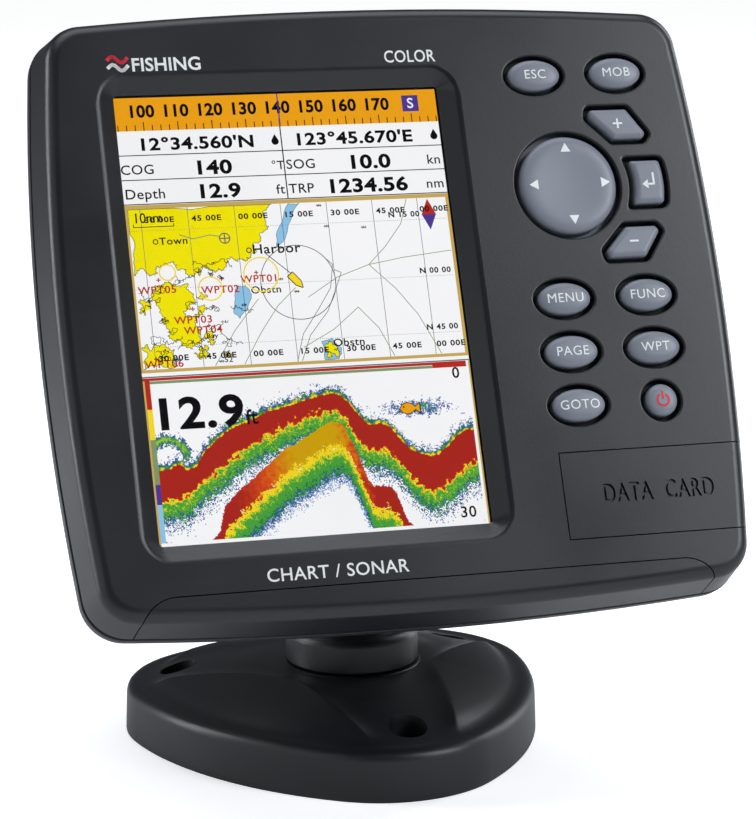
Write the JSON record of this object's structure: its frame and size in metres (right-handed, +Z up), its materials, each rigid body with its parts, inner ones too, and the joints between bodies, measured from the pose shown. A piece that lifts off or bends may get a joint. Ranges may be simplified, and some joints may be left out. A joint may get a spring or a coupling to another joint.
{
  "type": "fish finder",
  "caption": "Bench-top marine chart plotter and fish finder: a tilting colour display head with a side keypad on a swivelling three-lobed screw-down base.",
  "frame": {"origin": "centre of the swivel axis on the underside of the base, at the mounting surface", "axes": "+Z up along the swivel axis; the display faces -Y and leans back; +X is to the right of someone looking at the display"},
  "size_m": [0.1778, 0.1335, 0.1973],
  "materials": {
    "bezel_plastic": "fine-textured charcoal moulding, soft sheen",
    "case_plastic": "textured dark grey moulding",
    "base_plastic": "soft matt near-black moulding",
    "black_rubber": "matt moulded rubber",
    "key_plastic": "satin mid-grey key caps",
    "clear_window": "clear bonded window",
    "display_glass": "lit colour display",
    "circuit_board": "green board with solder mask",
    "black_plastic": "moulded black plastic",
    "steel": "stainless steel",
    "brass": "plated contact pins"
  },
  "bodies": {
    "base": {"mounting_base": "base_plastic", "base_pad": "black_rubber"},
    "turret": {"swivel_stem": "base_plastic", "swivel_bolt": "steel", "swivel_washer": "steel", "friction_disc_left": "black_rubber", "friction_disc_right": "black_rubber"},
    "head": {"front_bezel": "bezel_plastic", "lower_trim": "bezel_plastic", "rear_case": "case_plastic", "case_gasket": "black_rubber", "case_screw_1": "steel", "case_screw_2": "steel", "case_screw_3": "steel", "case_screw_4": "steel", "display_window": "clear_window", "window_gasket": "black_rubber", "lcd_panel": "display_glass", "backlight_unit": "black_plastic", "keypad_mat": "black_rubber", "keypad_board": "circuit_board", "card_bay": "black_plastic", "card_socket": "steel", "main_board": "circuit_board", "shield_can": "steel", "sounder_transformer": "black_plastic", "buzzer": "black_plastic", "backup_cell": "steel", "power_socket": "black_plastic", "power_pins": "brass", "sounder_socket": "black_plastic", "sounder_pins": "brass", "antenna_socket": "black_plastic", "antenna_pins": "brass", "rear_bracket": "base_plastic", "bracket_screw_1": "steel", "bracket_screw_2": "steel", "bracket_screw_3": "steel", "bracket_screw_4": "steel", "tilt_nut": "steel"},
    "knob": {"tilt_knob": "black_plastic", "tilt_bolt": "steel"},
    "key_escape_cap": {"key_escape": "key_plastic"},
    "key_man_overboard_cap": {"key_man_overboard": "key_plastic"},
    "key_zoom_in_cap": {"key_zoom_in": "key_plastic"},
    "key_enter_cap": {"key_enter": "key_plastic"},
    "key_zoom_out_cap": {"key_zoom_out": "key_plastic"},
    "key_menu_cap": {"key_menu": "key_plastic"},
    "key_function_cap": {"key_function": "key_plastic"},
    "key_page_cap": {"key_page": "key_plastic"},
    "key_waypoint_cap": {"key_waypoint": "key_plastic"},
    "key_goto_cap": {"key_goto": "key_plastic"},
    "key_power_cap": {"key_power": "key_plastic"},
    "cursor_pivot": {"cursor_rocker": "black_plastic"},
    "cursor_cap": {"cursor_pad": "key_plastic"},
    "card": {"memory_card": "black_plastic"},
    "door": {"card_door": "bezel_plastic"}
  },
  "joints": [
    {"name": "swivel", "type": "hinge", "parent": "base", "child": "turret", "pos_m": [0, 0, 0], "axis": [0, 0, 1], "continuous": true},
    {"name": "tilt", "type": "hinge", "parent": "turret", "child": "head", "pos_m": [0, 0, 0.068], "axis": [1, 0, 0], "range_deg": [-35, 25]},
    {"name": "knob_turn", "type": "hinge", "parent": "head", "child": "knob", "pos_m": [0, 0, 0.068], "axis": [1, 0, 0], "continuous": true},
    {"name": "key_escape_press", "type": "slide", "parent": "head", "child": "key_escape_cap", "axis": [0, 0.9018, -0.4321], "range_m": [0, 0.0008], "stiffness_N_per_m": 500, "springref_m": -0.0006},
    {"name": "key_man_overboard_press", "type": "slide", "parent": "head", "child": "key_man_overboard_cap", "axis": [0, 0.9018, -0.4321], "range_m": [0, 0.0008], "stiffness_N_per_m": 500, "springref_m": -0.0006},
    {"name": "key_zoom_in_press", "type": "slide", "parent": "head", "child": "key_zoom_in_cap", "axis": [0, 0.9018, -0.4321], "range_m": [0, 0.0008], "stiffness_N_per_m": 500, "springref_m": -0.0006},
    {"name": "key_enter_press", "type": "slide", "parent": "head", "child": "key_enter_cap", "axis": [0, 0.9018, -0.4321], "range_m": [0, 0.0008], "stiffness_N_per_m": 500, "springref_m": -0.0006},
    {"name": "key_zoom_out_press", "type": "slide", "parent": "head", "child": "key_zoom_out_cap", "axis": [0, 0.9018, -0.4321], "range_m": [0, 0.0008], "stiffness_N_per_m": 500, "springref_m": -0.0006},
    {"name": "key_menu_press", "type": "slide", "parent": "head", "child": "key_menu_cap", "axis": [0, 0.9018, -0.4321], "range_m": [0, 0.0008], "stiffness_N_per_m": 500, "springref_m": -0.0006},
    {"name": "key_function_press", "type": "slide", "parent": "head", "child": "key_function_cap", "axis": [0, 0.9018, -0.4321], "range_m": [0, 0.0008], "stiffness_N_per_m": 500, "springref_m": -0.0006},
    {"name": "key_page_press", "type": "slide", "parent": "head", "child": "key_page_cap", "axis": [0, 0.9018, -0.4321], "range_m": [0, 0.0008], "stiffness_N_per_m": 500, "springref_m": -0.0006},
    {"name": "key_waypoint_press", "type": "slide", "parent": "head", "child": "key_waypoint_cap", "axis": [0, 0.9018, -0.4321], "range_m": [0, 0.0008], "stiffness_N_per_m": 500, "springref_m": -0.0006},
    {"name": "key_goto_press", "type": "slide", "parent": "head", "child": "key_goto_cap", "axis": [0, 0.9018, -0.4321], "range_m": [0, 0.0008], "stiffness_N_per_m": 500, "springref_m": -0.0006},
    {"name": "key_power_press", "type": "slide", "parent": "head", "child": "key_power_cap", "axis": [0, 0.9018, -0.4321], "range_m": [0, 0.0008], "stiffness_N_per_m": 500, "springref_m": -0.0006},
    {"name": "cursor_rock_across", "type": "hinge", "parent": "head", "child": "cursor_pivot", "pos_m": [0.0478, -0.03088, 0.15123], "axis": [0, 0.4321, 0.9018], "range_deg": [-2.5, 2.5], "stiffness_Nm_per_rad": 0.23},
    {"name": "cursor_rock_upright", "type": "hinge", "parent": "cursor_pivot", "child": "cursor_cap", "pos_m": [0.0478, -0.03138, 0.15146], "axis": [1, 0, 0], "range_deg": [-2.5, 2.5], "stiffness_Nm_per_rad": 0.23},
    {"name": "card_push", "type": "slide", "parent": "head", "child": "card", "axis": [0, 0.9018, -0.4321], "range_m": [0, 0.001], "stiffness_N_per_m": 800, "springref_m": -0.0005},
    {"name": "card_door_hinge", "type": "hinge", "parent": "head", "child": "door", "pos_m": [0.0357, -0.07098, 0.08084], "axis": [0, -0.4321, -0.9018], "range_deg": [0, 100]}
  ]
}
